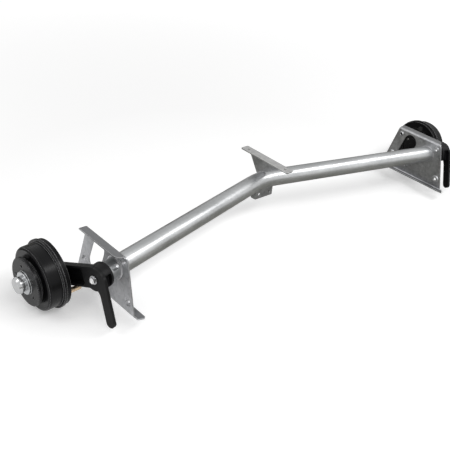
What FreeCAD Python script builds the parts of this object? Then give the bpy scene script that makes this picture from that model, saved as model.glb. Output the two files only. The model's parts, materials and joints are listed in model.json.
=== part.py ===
import FreeCAD, Part
import math
import os

# Braked rubber torsion axle, in millimetres.
# X runs along the axle, -X to the left wheel. +Y points rearward and +Z up.
# The left half is modelled and the right half is its mirror image.
# The finished origin is the middle of the centre flange's two holes, on its top face.

Vec = FreeCAD.Vector
X_AXIS = Vec(1, 0, 0)
Y_AXIS = Vec(0, 1, 0)
Z_AXIS = Vec(0, 0, 1)
ZERO = Vec(0, 0, 0)

# Clearances
slide_gap = 0.1
running_gap = 0.5
rubber_gap = 0.3
seat_gap = 0.3

# Axle tube
tube_radius = 35.0
tube_wall = 4.0
plate_spacing = 1700.0
bend_offset = 206.0
bend_radius = 280.0
tube_overhang = 56.0
bead_radius = 12.0
bead_depth = 5.0
bead_length = 12.0
bead_count = 4
bead_end_margin = 18.0

# Side plates
plate_thickness = 5.0
plate_top = 68.0
plate_bottom = -141.5
plate_front_top = -60.0
plate_front_bottom = -112.0
plate_rear_top = 168.0
plate_rear_bottom = 226.0
plate_corner_radius = 4.0
plate_shoulder_radius = 22.0
fold_inner_radius = 5.0
top_flange_width = 30.0
bottom_flange_width = 25.6
bottom_flange_lift = 14.5
bottom_flange_toe = 26.0
bottom_flange_root_toe = 11.0
bottom_flange_corner = 5.0
flange_sweep_radius = 24.0
window_radius = 33.0
window_upper = (97.0, 19.0)
window_lower = (119.0, -52.0)
plate_hole_radius = 6.5
upper_hole_height = 39.5
upper_hole_front = -44.0
upper_hole_rear = 152.0
lower_hole_height = -94.0
lower_hole_front = -75.0
lower_hole_rear = 93.0
rear_hole_place = (180.0, -65.0)
dimple_radius = 12.0
large_dimple_radius = 17.0
dimple_depth = 4.0
dimple_slope = 3.0
weld_width = 6.0
weld_height = 5.0
weld_bevel = 4.0

# Centre flange and gusset
flange_top = 95.0
flange_thickness = 5.0
flange_width = 38.0
flange_front = 63.0
flange_rear = 325.0
flange_corner_radius = 6.0
flange_hole_spacing = 208.0
flange_hole_radius = 5.5
gusset_thickness = 6.0
gusset_front = 100.0
gusset_rear = 288.0
gusset_foot_front = 196.0
gusset_foot_rear = 236.0

# Cable bracket under the bend
cable_plate_thickness = 4.0
cable_plate_width = 98.0
cable_plate_front = 181.0
cable_plate_top = -26.0
cable_plate_bottom = -70.0
cable_lip_depth = 25.0
cable_lip_radius = 6.0
cable_hole_radius = 6.0
cable_hole_spacing = 56.0
cable_hole_height = -51.0

# Swing arm, in its own frame: x to the wheel, y outboard along the pivot, z up
arm_length = 191.9
arm_outer_face = 102.0
arm_inner_face = 79.0
beam_root_top = 43.0
beam_root_bottom = -31.0
beam_tip_top = 28.0
beam_tip_bottom = -40.0
arm_droop = 16.8
collar_radius = 43.5
hub_face_radius = 40.0
hub_start = tube_overhang + 1.0
collar_width = 8.0
barrel_radius = 42.0
hub_notch_depth = 17.0
hub_notch_top = 12.0
recess_rim = 7.0
recess_depth = 18.0
recess_start = 46.0
recess_end = 150.0
recess_corner_radius = 10.0
lever_thickness = 11.0
lever_width = 33.0
lever_root_offset = 29.5
lever_tip_offset = 32.0
lever_reach = 149.0
elbow_radius = 24.0
wheel_seat_inset = 2.4
wheel_boss_radius = 37.0
wheel_boss_length = 30.0
wheel_flange_radius = 52.0
wheel_flange_thickness = 12.0
brake_screw_circle = 42.0
brake_screw_radius = 4.0
brake_screw_count = 4
brake_screw_flats = 13.0
brake_screw_head = 5.0

# Torsion core, rubber cords and pivot bolt
core_width = 32.0
core_inner_end = -125.0
core_outer_end = 96.0
cord_length = 150.0
cord_end_margin = 12.0
bolt_radius = 6.0
bolt_head_flats = 19.0
bolt_head_height = 8.0
bolt_length = 45.0
washer_radius = 15.0
washer_thickness = 3.0

# Stub axle and hub bearing, heights measured outboard from the backplate
axle_shoulder_radius = 23.0
axle_journal_radius = 17.0
axle_thread_radius = 12.0
bearing_start = 42.0
bearing_width = 37.0
bearing_outer_radius = 32.0
race_thickness = 4.0
cage_inset = 2.0
nut_flats = 36.0
nut_height = 18.0
thread_length = 24.0
circlip_width = 2.0
circlip_grip = 2.0
circlip_reach = 3.5

# Backplate
backplate_rise = 4.5
backplate_sheet = 3.0
backplate_rim = 14.0
backplate_ring_radius = 78.0
backplate_ring_width = 14.0
backplate_ring_depth = 3.0
plug_radius = 9.0
plug_head_radius = 12.0
plug_head_height = 2.5
plug_place_radius = 88.0
plug_angles = (70.0, 160.0)
cable_gland_inset = 7.58247
cable_gland_angle = -35.75389
cable_gland_radius = 9.0
cable_gland_bore = 4.5
cable_gland_length = 48.0
cable_gland_collar_radius = 11.0
cable_gland_collar = 9.0

# Brake drum with its hub
drum_lip_rise = 9.0
drum_air_gap = 2.0
drum_lip_end = 26.0
drum_lip_edge = 1.5
drum_radius = 110.5
drum_front = 75.0
drum_wall = 10.5
drum_web = 8.0
drum_shoulder_radius = 9.0
hub_neck_radius = 68.0
hub_disc_radius = 83.5
hub_disc_start = 84.0
hub_face = 98.0
hub_edge = 2.0
hub_barrel_radius = 42.0
hub_barrel_start = 35.0
spigot_radius = 39.0
spigot_end = 106.0
spigot_edge = 1.0
cap_bore_radius = 25.0
wheel_hole_circle = 56.0
wheel_hole_radius = 6.0
wheel_hole_count = 5
cap_radius = 26.0
cap_rim_radius = 29.0
cap_rim_start = 121.0
cap_sheet = 2.0
cap_end = 132.0
cap_edge = 4.0
cap_knee_angle = 30.0
cap_seat_depth = 8.0

# Brake shoes, laid out about an axis through the expander
brake_axis_angle = -50.0
lining_width = 40.0
lining_gap = 1.3
lining_thickness = 5.0
lining_half_angle = 61.0
platform_thickness = 3.0
platform_half_angle = 66.0
shoe_web_thickness = 5.0
shoe_web_depth = 19.7
shoe_end_half = 20.0
expander_inset = 11.7
expander_half_width = 9.0
expander_depth = 10.0
expander_pin_radius = 4.0
expander_pin_overhang = 2.0
lever_arm_thickness = 6.0
bracket_sheet = 4.0
adjuster_depth = 16.0
adjuster_width = 24.0
spring_radius = 4.5
spring_inset = 23.2
spring_half_length = 34.0
spring_lift = 14.0
spring_hook_radius = 1.5
spring_hole_radius = 2.0

drum_bore = drum_radius - drum_wall
drum_lip_radius = drum_radius + drum_lip_rise
gland_place_radius = drum_bore - cable_gland_inset
cable_gland_place = (gland_place_radius * math.cos(math.radians(cable_gland_angle)),
                     gland_place_radius * math.sin(math.radians(cable_gland_angle)))
drum_lip_start = backplate_rim + drum_air_gap
backplate_radius = drum_radius + backplate_rise
shoe_centre = (drum_lip_start + drum_front - drum_web) / 2
spring_height = shoe_centre + spring_lift
platform_outer = drum_bore - lining_gap - lining_thickness
platform_inner = platform_outer - platform_thickness
expander_place = platform_inner - expander_inset
adjuster_place = -expander_place
spring_place = platform_inner - spring_inset
bearing_end = bearing_start + bearing_width
track_half = plate_spacing / 2
sweep = math.degrees(math.atan2(bend_offset, track_half))
flange_middle = (flange_front + flange_rear) / 2


def disc(radius, start, end, x=0.0, y=0.0):
    return Part.makeCylinder(radius, end - start, Vec(x, y, start))


def ring(outer, inner, start, end):
    return disc(outer, start, end).cut(disc(inner, start, end))


def polygon_face(points):
    return Part.Face(Part.makePolygon(points + [points[0]]))


def turned(profile):
    # A closed outline of (radius, height) pairs spun about Z
    face = polygon_face([Vec(radius, 0, height) for radius, height in profile])
    return face.revolve(ZERO, Z_AXIS, 360)


def hexagon(flats, start, end):
    corner = flats / math.sqrt(3)
    angles = [math.radians(60 * k) for k in range(6)]
    points = [Vec(corner * math.cos(a), corner * math.sin(a), start) for a in angles]
    return polygon_face(points).extrude(Vec(0, 0, end - start))


def around(shape, count, start_angle=0.0):
    copies = []
    for k in range(count):
        copy = shape.copy()
        copy.rotate(ZERO, Z_AXIS, start_angle + 360.0 * k / count)
        copies.append(copy)
    return Part.makeCompound(copies)


def edges_where(shape, test):
    return [edge for edge in shape.Edges if test(edge)]


def along(edge, axis):
    if edge.Curve.TypeId != "Part::GeomLine":
        return False
    span = edge.lastVertex().Point.sub(edge.firstVertex().Point)
    return abs(span.dot(axis)) > 0.999 * span.Length


def slot_face(first, second, radius):
    # Two half circles joined by straight sides, in the XY plane
    run = second.sub(first)
    run.normalize()
    side = Vec(-run.y, run.x, 0).multiply(radius)
    tip = second.add(Vec(run).multiply(radius))
    tail = first.sub(Vec(run).multiply(radius))
    edges = [Part.LineSegment(first.add(side), second.add(side)).toShape(),
             Part.Arc(second.add(side), tip, second.sub(side)).toShape(),
             Part.LineSegment(second.sub(side), first.sub(side)).toShape(),
             Part.Arc(first.sub(side), tail, first.add(side)).toShape()]
    return Part.Face(Part.Wire(edges))


# Frames of the left half
pivot_frame = FreeCAD.Placement(Vec(-track_half, 0, 0), FreeCAD.Rotation(Z_AXIS, 90 + sweep))
droop_turn = FreeCAD.Placement(ZERO, FreeCAD.Rotation(Y_AXIS, arm_droop))
arm_frame = pivot_frame * droop_turn
sweep_sin = math.sin(math.radians(sweep))
sweep_cos = math.cos(math.radians(sweep))
wheel_turn = FreeCAD.Rotation(Vec(-sweep_cos, sweep_sin, 0), Z_AXIS, Vec(sweep_sin, sweep_cos, 0), "ZXY")
wheel_in_arm = FreeCAD.Placement(Vec(arm_length, arm_outer_face - wheel_seat_inset, 0), wheel_turn)
wheel_frame = arm_frame * wheel_in_arm
brake_turn = FreeCAD.Placement(ZERO, FreeCAD.Rotation(Z_AXIS, brake_axis_angle))
brake_frame = wheel_frame * brake_turn


def placed(shape, frame):
    moved = shape.copy()
    moved.Placement = frame * moved.Placement
    return moved


def tube_solid(radius, overhang):
    # The bent round bar that the tube's outside or inside fills
    outboard = pivot_frame.Rotation.multVec(Y_AXIS)
    left_end = Vec(-track_half, 0, 0).add(Vec(outboard).multiply(overhang))
    corner = Vec(0, bend_offset, 0)
    reach = bend_radius * math.tan(math.radians(sweep))
    arc_start = corner.add(Vec(outboard).multiply(reach))
    arc_end = Vec(-arc_start.x, arc_start.y, 0)
    centre_y = bend_offset - bend_radius / sweep_cos
    arc_middle = Vec(0, centre_y + bend_radius, 0)
    right_end = Vec(-left_end.x, left_end.y, 0)
    path = Part.Wire([Part.LineSegment(left_end, arc_start).toShape(),
                      Part.Arc(arc_start, arc_middle, arc_end).toShape(),
                      Part.LineSegment(arc_end, right_end).toShape()])
    section = Part.Wire(Part.makeCircle(radius, left_end, Vec(outboard).multiply(-1)))
    return path.makePipeShell([section], True, False)


def bead_cutters(radius):
    # Long round-ended bars that press into the tube, on both ends
    axis_radius = tube_radius + bead_radius - bead_depth
    inner_end = tube_overhang - bead_end_margin - bead_length
    bars = []
    for k in range(bead_count):
        angle = math.radians(45 + 360.0 * k / bead_count)
        x = axis_radius * math.cos(angle)
        z = axis_radius * math.sin(angle)
        start = Vec(x, inner_end, z)
        end = Vec(x, inner_end + bead_length, z)
        bar = Part.makeCylinder(radius, bead_length, start, Y_AXIS)
        bars.append(bar.fuse([Part.makeSphere(radius, start), Part.makeSphere(radius, end)]))
    left = placed(Part.makeCompound(bars), pivot_frame)
    return left.Solids + left.mirror(ZERO, X_AXIS).Solids


def make_axle_tube():
    outside = tube_solid(tube_radius, tube_overhang).cut(bead_cutters(bead_radius))
    inside = tube_solid(tube_radius - tube_wall, tube_overhang)
    inside = inside.cut(bead_cutters(bead_radius + tube_wall))
    return outside.cut(inside)


def tube_clearance(gap):
    return tube_solid(tube_radius + gap, tube_overhang)


def flange_underside(x):
    # The bottom flange rises inboard from the sheet's outer face
    outer = -track_half - plate_thickness / 2
    return plate_bottom + (x - outer) * math.tan(math.radians(bottom_flange_lift))


def plate_section():
    # The folded sheet's end view: top flange outboard, lifted bottom flange inboard
    outer = -track_half - plate_thickness / 2
    inner = -track_half + plate_thickness / 2
    edge = inner + bottom_flange_width
    slanted = plate_thickness / math.cos(math.radians(bottom_flange_lift))
    fold_height = flange_underside(inner) + slanted
    points = [Vec(outer - top_flange_width, 0, plate_top), Vec(inner, 0, plate_top),
              Vec(inner, 0, fold_height), Vec(edge, 0, flange_underside(edge) + slanted),
              Vec(edge, 0, flange_underside(edge)), Vec(outer, 0, plate_bottom),
              Vec(outer, 0, plate_top - plate_thickness),
              Vec(outer - top_flange_width, 0, plate_top - plate_thickness)]
    sheet = polygon_face(points).extrude(Vec(0, 2 * track_half, 0))
    sheet.translate(Vec(0, -track_half, 0))
    fold_outer_radius = fold_inner_radius + plate_thickness
    for x, z, radius in ((inner, plate_top, fold_outer_radius),
                         (outer, plate_top - plate_thickness, fold_inner_radius),
                         (outer, plate_bottom, fold_outer_radius),
                         (inner, fold_height, fold_inner_radius)):
        bend = edges_where(sheet, lambda e: along(e, Y_AXIS)
                           and abs(e.CenterOfMass.x - x) < 0.01 and abs(e.CenterOfMass.z - z) < 0.01)
        sheet = sheet.makeFillet(radius, bend)
    return sheet


def plate_outline():
    # The sheet's side view as a thick block, with the bottom flange's plan view beside it
    left = -track_half - top_flange_width - plate_thickness
    inner = -track_half + plate_thickness / 2
    points = [Vec(left, plate_front_top, plate_top), Vec(left, plate_rear_top, plate_top),
              Vec(left, plate_rear_bottom, plate_bottom), Vec(left, plate_front_bottom, plate_bottom)]
    block = polygon_face(points).extrude(Vec(inner - left, 0, 0))
    shoulder = edges_where(block, lambda e: along(e, X_AXIS)
                           and abs(e.CenterOfMass.y - plate_front_top) < 0.01)
    block = block.makeFillet(plate_shoulder_radius, shoulder)
    feet = edges_where(block, lambda e: along(e, X_AXIS)
                       and abs(e.CenterOfMass.z - plate_bottom) < 0.01)
    block = block.makeFillet(plate_corner_radius, feet)
    return block.fuse(bottom_flange_outline(inner))


def bottom_flange_outline(inner):
    # The bottom flange runs forward to a slanted end with a rounded tip
    edge = inner + bottom_flange_width
    tip = plate_front_bottom - bottom_flange_toe
    points = [Vec(inner, plate_rear_bottom, plate_bottom), Vec(edge, plate_rear_bottom, plate_bottom),
              Vec(edge, tip, plate_bottom),
              Vec(inner, plate_front_bottom - bottom_flange_root_toe, plate_bottom)]
    height = flange_underside(edge) - plate_bottom + 3 * plate_thickness
    block = polygon_face(points).extrude(Vec(0, 0, height))
    corner = edges_where(block, lambda e: along(e, Z_AXIS) and abs(e.CenterOfMass.y - tip) < 0.01)
    return block.makeFillet(bottom_flange_corner, corner)


def plate_holes():
    return ((upper_hole_front, upper_hole_height, dimple_radius),
            (upper_hole_rear, upper_hole_height, dimple_radius),
            (lower_hole_front, lower_hole_height, large_dimple_radius),
            (lower_hole_rear, lower_hole_height, dimple_radius),
            (rear_hole_place[0], rear_hole_place[1], dimple_radius))


def make_side_plate():
    outer = -track_half - plate_thickness / 2
    inner = -track_half + plate_thickness / 2
    plate = plate_section().common(plate_outline())
    plate = plate.cut(top_flange_sweep())
    window = slot_face(Vec(*window_upper), Vec(*window_lower), window_radius)
    window = window.extrude(Vec(0, 0, 4 * plate_thickness))
    window.Placement = FreeCAD.Placement(Vec(outer - plate_thickness, 0, 0),
                                         FreeCAD.Rotation(Y_AXIS, Z_AXIS, X_AXIS, "ZXY"))
    plate = plate.cut(window)
    for y, z, radius in plate_holes():
        boss = Part.makeCone(radius, radius - dimple_slope, dimple_depth, Vec(inner, y, z), X_AXIS)
        recess = Part.makeCone(radius - dimple_slope / 2, radius - dimple_slope * 3 / 2, dimple_depth,
                               Vec(outer, y, z), X_AXIS)
        hole = Part.makeCylinder(plate_hole_radius, 4 * plate_thickness,
                                 Vec(outer - plate_thickness, y, z), X_AXIS)
        plate = plate.fuse(boss).cut(recess).cut(hole)
    return plate.fuse(plate_weld()).cut(tube_clearance(slide_gap)).removeSplitter()


def top_flange_sweep():
    # What is cut away so that the top flange's front corner sweeps back
    edge = -track_half - plate_thickness / 2 - top_flange_width
    front = plate_front_top + plate_shoulder_radius / 2
    low = plate_top - 2 * plate_thickness
    block = Part.makeBox(flange_sweep_radius + 1, flange_sweep_radius - 2 * plate_front_top,
                         3 * plate_thickness, Vec(edge - 1, front + 2 * plate_front_top, low))
    centre = Vec(edge + flange_sweep_radius, front + flange_sweep_radius, low)
    return block.cut(Part.makeCylinder(flange_sweep_radius, 3 * plate_thickness, centre))


def plate_weld():
    # The weld run round the tube on the plate's outboard face
    outer = -track_half - plate_thickness / 2
    slab = Part.makeBox(weld_height, 4 * tube_radius, 4 * tube_radius,
                        Vec(outer - weld_height, -2 * tube_radius, -2 * tube_radius))
    collar = slab.common(tube_clearance(weld_width))
    rim = edges_where(collar, lambda e: e.Curve.TypeId != "Part::GeomLine"
                      and abs(e.CenterOfMass.x - (outer - weld_height)) < 0.5)
    return collar.makeChamfer(weld_bevel, rim)


def make_centre_flange():
    plate = Part.makeBox(flange_width, flange_rear - flange_front, flange_thickness,
                         Vec(-flange_width / 2, flange_front, flange_top - flange_thickness))
    plate = plate.makeFillet(flange_corner_radius, edges_where(plate, lambda e: along(e, Z_AXIS)))
    for side in (-1, 1):
        place = Vec(0, flange_middle + side * flange_hole_spacing / 2, flange_top - 2 * flange_thickness)
        plate = plate.cut(Part.makeCylinder(flange_hole_radius, 3 * flange_thickness, place))
    return plate


def make_centre_gusset():
    top = flange_top - flange_thickness
    side = -gusset_thickness / 2
    points = [Vec(side, gusset_front, top), Vec(side, gusset_rear, top),
              Vec(side, gusset_foot_rear, tube_radius / 2), Vec(side, gusset_foot_front, tube_radius / 2),
              Vec(side, gusset_foot_front, tube_radius)]
    web = polygon_face(points).extrude(Vec(gusset_thickness, 0, 0))
    return web.cut(tube_clearance(slide_gap))


def make_cable_bracket():
    height = cable_plate_top - cable_plate_bottom
    corner = Vec(-cable_plate_width / 2, cable_plate_front, cable_plate_bottom)
    block = Part.makeBox(cable_plate_width, cable_lip_depth, height, corner)
    block = block.makeFillet(cable_lip_radius, edges_where(
        block, lambda e: along(e, Z_AXIS) and abs(e.CenterOfMass.y - cable_plate_front) < 0.01))
    core_corner = corner.add(Vec(cable_plate_thickness, cable_plate_thickness, 0))
    core = Part.makeBox(cable_plate_width - 2 * cable_plate_thickness, cable_lip_depth, height, core_corner)
    core = core.makeFillet(cable_lip_radius - cable_plate_thickness, edges_where(
        core, lambda e: along(e, Z_AXIS) and abs(e.CenterOfMass.y - core_corner.y) < 0.01))
    bracket = block.cut(core)
    for side in (-1, 1):
        place = Vec(side * cable_hole_spacing / 2, cable_plate_front - 1, cable_hole_height)
        bracket = bracket.cut(Part.makeCylinder(cable_hole_radius, cable_lip_depth, place, Y_AXIS))
    return bracket.cut(tube_clearance(slide_gap))


def in_arm(shape):
    # Shapes drawn in XY with their height along Z, turned so that height runs outboard
    turn = FreeCAD.Rotation(X_AXIS, Vec(0, 0, -1), Y_AXIS, "ZXY")
    return placed(shape, FreeCAD.Placement(ZERO, turn))


def arm_bar(start, end, half_height, y_start, y_end):
    box = Part.makeBox(end - start, y_end - y_start, 2 * half_height, Vec(start, y_start, -half_height))
    return box


def make_swing_arm():
    barrel = in_arm(disc(barrel_radius, hub_start, arm_outer_face - lever_thickness))
    collar = in_arm(disc(collar_radius, hub_start, hub_start + collar_width))
    face = in_arm(disc(hub_face_radius, arm_outer_face - lever_thickness, arm_outer_face))
    beam = arm_beam(0, arm_length, 0, arm_inner_face, arm_outer_face)
    lever_tip = Vec(-lever_tip_offset, lever_reach, 0)
    lever = slot_face(Vec(-lever_root_offset, 0, 0), lever_tip, lever_width / 2)
    lever = in_arm(lever.extrude(Vec(0, 0, lever_thickness)))
    lever.translate(Vec(0, arm_outer_face - lever_thickness, 0))
    elbow = arm_elbow()
    boss = placed(disc(wheel_boss_radius, -wheel_boss_length, 0), wheel_in_arm)
    flange = placed(disc(wheel_flange_radius, -wheel_flange_thickness, 0), wheel_in_arm)
    arm = barrel.fuse([collar, face, beam, lever, elbow, boss, flange])
    outboard = placed(disc(3 * wheel_flange_radius, 0, arm_length), wheel_in_arm)
    arm = arm.cut([outboard, arm_recess(), hub_notch()])
    socket = arm_bar(-core_width / 2 - slide_gap, core_width / 2 + slide_gap, core_width / 2 + slide_gap,
                     hub_start - 1, core_outer_end + slide_gap)
    socket.rotate(ZERO, Y_AXIS, -arm_droop)
    bolt_hole = in_arm(disc(bolt_radius + slide_gap, hub_start, arm_outer_face + 1))
    axle_hole = placed(disc(axle_journal_radius, -2 * wheel_boss_length, 1), wheel_in_arm)
    arm = arm.cut([socket, bolt_hole, axle_hole])
    screws = placed(around(disc(brake_screw_radius, -wheel_flange_thickness - 1, 1, brake_screw_circle),
                           brake_screw_count, 45), wheel_in_arm)
    return arm.cut(screws.Solids).removeSplitter()


def arm_beam(start, end, rim, y_start, y_end):
    # The tapered beam between two distances from the pivot, drawn in by the rim
    def edge(root, tip, x, inward):
        return root + (tip - root) * x / arm_length + inward
    points = [Vec(start, y_start, edge(beam_root_bottom, beam_tip_bottom, start, rim)),
              Vec(end, y_start, edge(beam_root_bottom, beam_tip_bottom, end, rim)),
              Vec(end, y_start, edge(beam_root_top, beam_tip_top, end, -rim)),
              Vec(start, y_start, edge(beam_root_top, beam_tip_top, start, -rim))]
    return polygon_face(points).extrude(Vec(0, y_end - y_start, 0))


def arm_elbow():
    # Web that rounds the inner corner between beam and lever
    lever_rear = -lever_root_offset + lever_width / 2
    corner = Vec(lever_rear, arm_outer_face - lever_thickness, beam_root_bottom)
    block = Part.makeBox(elbow_radius, lever_thickness, elbow_radius,
                         corner.sub(Vec(0, 0, elbow_radius)))
    centre = corner.add(Vec(elbow_radius, 0, -elbow_radius))
    return block.cut(Part.makeCylinder(elbow_radius, lever_thickness, centre, Y_AXIS))


def arm_recess():
    # The open channel on the beam's outboard side
    floor = arm_outer_face - recess_depth
    pocket = arm_beam(recess_start, recess_end, recess_rim, floor, arm_outer_face + 1)
    return pocket.makeFillet(recess_corner_radius, edges_where(pocket, lambda e: along(e, Y_AXIS)))


def hub_notch():
    # Cast pocket in the front of the barrel, between the collar and the lever
    start = hub_start + collar_width
    end = arm_outer_face - lever_thickness
    return Part.makeBox(hub_notch_depth, end - start, 2 * collar_radius,
                        Vec(-collar_radius, start, hub_notch_top - 2 * collar_radius))


def make_torsion_core():
    bar = arm_bar(-core_width / 2, core_width / 2, core_width / 2, core_inner_end, core_outer_end)
    thread = in_arm(disc(bolt_radius + slide_gap, arm_outer_face - bolt_length, core_outer_end + 1))
    return bar.cut(thread)


def make_rubber_cords():
    space = tube_radius - tube_wall - core_width / 2
    radius = space / 2 - rubber_gap
    start = tube_overhang - cord_end_margin - cord_length
    cord = disc(radius, start, start + cord_length, core_width / 2 + space / 2)
    return in_arm(around(cord, 4))


def make_arm_bolt():
    head_start = arm_outer_face + washer_thickness
    head = hexagon(bolt_head_flats, head_start, head_start + bolt_head_height)
    shank = disc(bolt_radius, arm_outer_face - bolt_length + 1, head_start)
    return in_arm(head.fuse(shank))


def make_arm_washer():
    return in_arm(ring(washer_radius, bolt_radius + slide_gap, arm_outer_face,
                       arm_outer_face + washer_thickness))


def make_stub_axle():
    journal = disc(axle_journal_radius, -wheel_boss_length, bearing_end)
    shoulder = disc(axle_shoulder_radius, backplate_sheet, bearing_start)
    thread = disc(axle_thread_radius, bearing_end, bearing_end + thread_length)
    return journal.fuse([shoulder, thread]).removeSplitter()


def make_hub_nut():
    nut = hexagon(nut_flats, bearing_end, bearing_end + nut_height)
    return nut.cut(disc(axle_thread_radius + slide_gap, bearing_end, bearing_end + nut_height))


def make_bearing_outer():
    return ring(bearing_outer_radius - slide_gap / 2, bearing_outer_radius - race_thickness,
                bearing_start, bearing_end)


def make_bearing_inner():
    return ring(axle_journal_radius + race_thickness, axle_journal_radius + slide_gap / 2,
                bearing_start, bearing_end)


def make_bearing_balls():
    # Ball rows in their cage, as one ring that runs between the races
    inner = axle_journal_radius + race_thickness + seat_gap
    outer = bearing_outer_radius - race_thickness - seat_gap
    return ring(outer, inner, bearing_start + cage_inset, bearing_end - cage_inset)


def make_circlip():
    start = bearing_start - circlip_width - slide_gap
    outer = bearing_outer_radius + circlip_grip - slide_gap
    clip = ring(outer, bearing_outer_radius - circlip_reach, start, start + circlip_width)
    gap = Part.makeBox(2 * outer, bearing_outer_radius / 2, 3 * circlip_width,
                       Vec(0, -bearing_outer_radius / 4, start - circlip_width))
    return clip.cut(gap)


def make_backplate():
    inner = axle_shoulder_radius + seat_gap
    ring_in = backplate_ring_radius - backplate_ring_width / 2
    ring_out = backplate_ring_radius + backplate_ring_width / 2
    rise = backplate_ring_depth
    sheet = backplate_sheet
    profile = [(inner, 0), (ring_in, 0), (ring_in + rise, rise), (ring_out - rise, rise), (ring_out, 0),
               (backplate_radius, 0), (backplate_radius, backplate_rim),
               (backplate_radius - sheet, backplate_rim), (backplate_radius - sheet, sheet),
               (ring_out + sheet / 2, sheet), (ring_out - rise + sheet / 2, sheet + rise),
               (ring_in + rise - sheet / 2, sheet + rise), (ring_in - sheet / 2, sheet), (inner, sheet)]
    plate = turned(profile)
    plate = plate.cut(around(disc(brake_screw_radius + slide_gap, -1, 2 * sheet, brake_screw_circle),
                             brake_screw_count, 45).Solids)
    for x, y in plug_places():
        plate = plate.cut(disc(plug_radius, -1, 3 * sheet, x, y))
    gland_x, gland_y = cable_gland_place
    return plate.cut(disc(cable_gland_radius, -1, 3 * sheet, gland_x, gland_y))


def plug_places():
    places = []
    for angle in plug_angles:
        turn = math.radians(angle)
        places.append((plug_place_radius * math.cos(turn), plug_place_radius * math.sin(turn)))
    return places


def make_backplate_plugs():
    plugs = []
    for x, y in plug_places():
        stem = disc(plug_radius - slide_gap, 0, 2 * backplate_sheet, x, y)
        head = disc(plug_head_radius, -plug_head_height, 0, x, y)
        plugs.append(head.fuse(stem))
    return Part.makeCompound(plugs)


def make_backplate_screws():
    head = hexagon(brake_screw_flats, backplate_sheet, backplate_sheet + brake_screw_head)
    head.translate(Vec(brake_screw_circle, 0, 0))
    shank = disc(brake_screw_radius - slide_gap, -wheel_flange_thickness, backplate_sheet)
    shank.translate(Vec(brake_screw_circle, 0, 0))
    return around(head.fuse(shank), brake_screw_count, 45)


def make_cable_gland():
    x, y = cable_gland_place
    collar_start = -cable_gland_collar
    body = disc(cable_gland_radius, -cable_gland_length, 0, x, y)
    collar = disc(cable_gland_collar_radius, collar_start, 0, x, y)
    spigot = disc(cable_gland_radius - slide_gap, 0, 2 * backplate_sheet, x, y)
    gland = body.fuse([collar, spigot])
    return gland.cut(disc(cable_gland_bore, -cable_gland_length - 1, 3 * backplate_sheet, x, y))


def make_brake_drum():
    bore = drum_bore
    shoulder = drum_shoulder_radius
    step = shoulder * (1 - math.cos(math.radians(45)))
    inner_front = drum_front - drum_web
    lip = drum_lip_radius
    lip_edge = drum_lip_edge
    circlip_end = bearing_start - slide_gap / 2
    circlip_start = circlip_end - circlip_width - slide_gap
    groove_radius = bearing_outer_radius + circlip_grip
    profile = [(bore, drum_lip_start), (lip, drum_lip_start), (lip, drum_lip_end - lip_edge),
               (lip - lip_edge, drum_lip_end), (drum_radius, drum_lip_end),
               (drum_radius, drum_front - shoulder),
               (drum_radius - step, drum_front - step), (drum_radius - shoulder, drum_front),
               (hub_neck_radius, drum_front), (hub_neck_radius, hub_disc_start),
               (hub_disc_radius - hub_edge, hub_disc_start), (hub_disc_radius, hub_disc_start + hub_edge),
               (hub_disc_radius, hub_face - hub_edge), (hub_disc_radius - hub_edge, hub_face),
               (spigot_radius, hub_face), (spigot_radius, spigot_end - spigot_edge),
               (spigot_radius - spigot_edge, spigot_end),
               (cap_bore_radius, spigot_end), (cap_bore_radius, bearing_end + slide_gap),
               (bearing_outer_radius, bearing_end + slide_gap), (bearing_outer_radius, circlip_end),
               (groove_radius, circlip_end), (groove_radius, circlip_start),
               (bearing_outer_radius, circlip_start), (bearing_outer_radius, hub_barrel_start),
               (hub_barrel_radius, hub_barrel_start), (hub_barrel_radius, inner_front), (bore, inner_front)]
    drum = turned(profile)
    holes = around(disc(wheel_hole_radius, drum_front - 2 * drum_web, hub_face + 1, wheel_hole_circle),
                   wheel_hole_count, 90)
    return drum.cut(holes.Solids)


def make_grease_cap():
    start = spigot_end - cap_seat_depth
    knee = cap_edge * math.sin(math.radians(cap_knee_angle))
    inner = cap_bore_radius - cap_sheet
    rim = cap_rim_radius
    return turned([(cap_bore_radius, start), (cap_bore_radius, spigot_end), (cap_radius, spigot_end),
                   (cap_radius, cap_rim_start), (rim, cap_rim_start),
                   (rim, cap_end - 2 * cap_edge), (rim - knee, cap_end - knee - cap_edge / 2),
                   (rim - cap_edge, cap_end), (0, cap_end), (0, cap_end - cap_sheet),
                   (inner - cap_edge, cap_end - cap_sheet), (inner, cap_end - 2 * cap_edge), (inner, start)])


def arc_band(outer, inner, half_angle, start, end):
    # Part of a ring, centred on +Y
    band = Part.makeCylinder(outer, end - start, Vec(0, 0, start), Z_AXIS, 2 * half_angle)
    band = band.cut(disc(inner, start - 1, end + 1))
    band.rotate(ZERO, Z_AXIS, 90 - half_angle)
    return band


def make_brake_shoe():
    # The shoe on the +Y side of the brake axis; the other is turned half round
    lining_outer = drum_bore - lining_gap
    low = shoe_centre - lining_width / 2
    high = shoe_centre + lining_width / 2
    web_low = shoe_centre - shoe_web_thickness / 2
    web_high = shoe_centre + shoe_web_thickness / 2
    lining = arc_band(lining_outer, platform_outer, lining_half_angle, low, high)
    platform = arc_band(platform_outer, platform_inner, platform_half_angle, low, high)
    web = arc_band(platform_inner, platform_inner - shoe_web_depth, 90, web_low, web_high)
    floor = Part.makeBox(2 * drum_bore, drum_bore, lining_width, Vec(-drum_bore, -drum_bore, low))
    floor.translate(Vec(0, shoe_end_half, 0))
    spring_hole = disc(spring_hole_radius, low, high, spring_place, spring_hook_place())
    web = web.cut([floor, spring_hole])
    return lining.fuse([platform, web])


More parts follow.
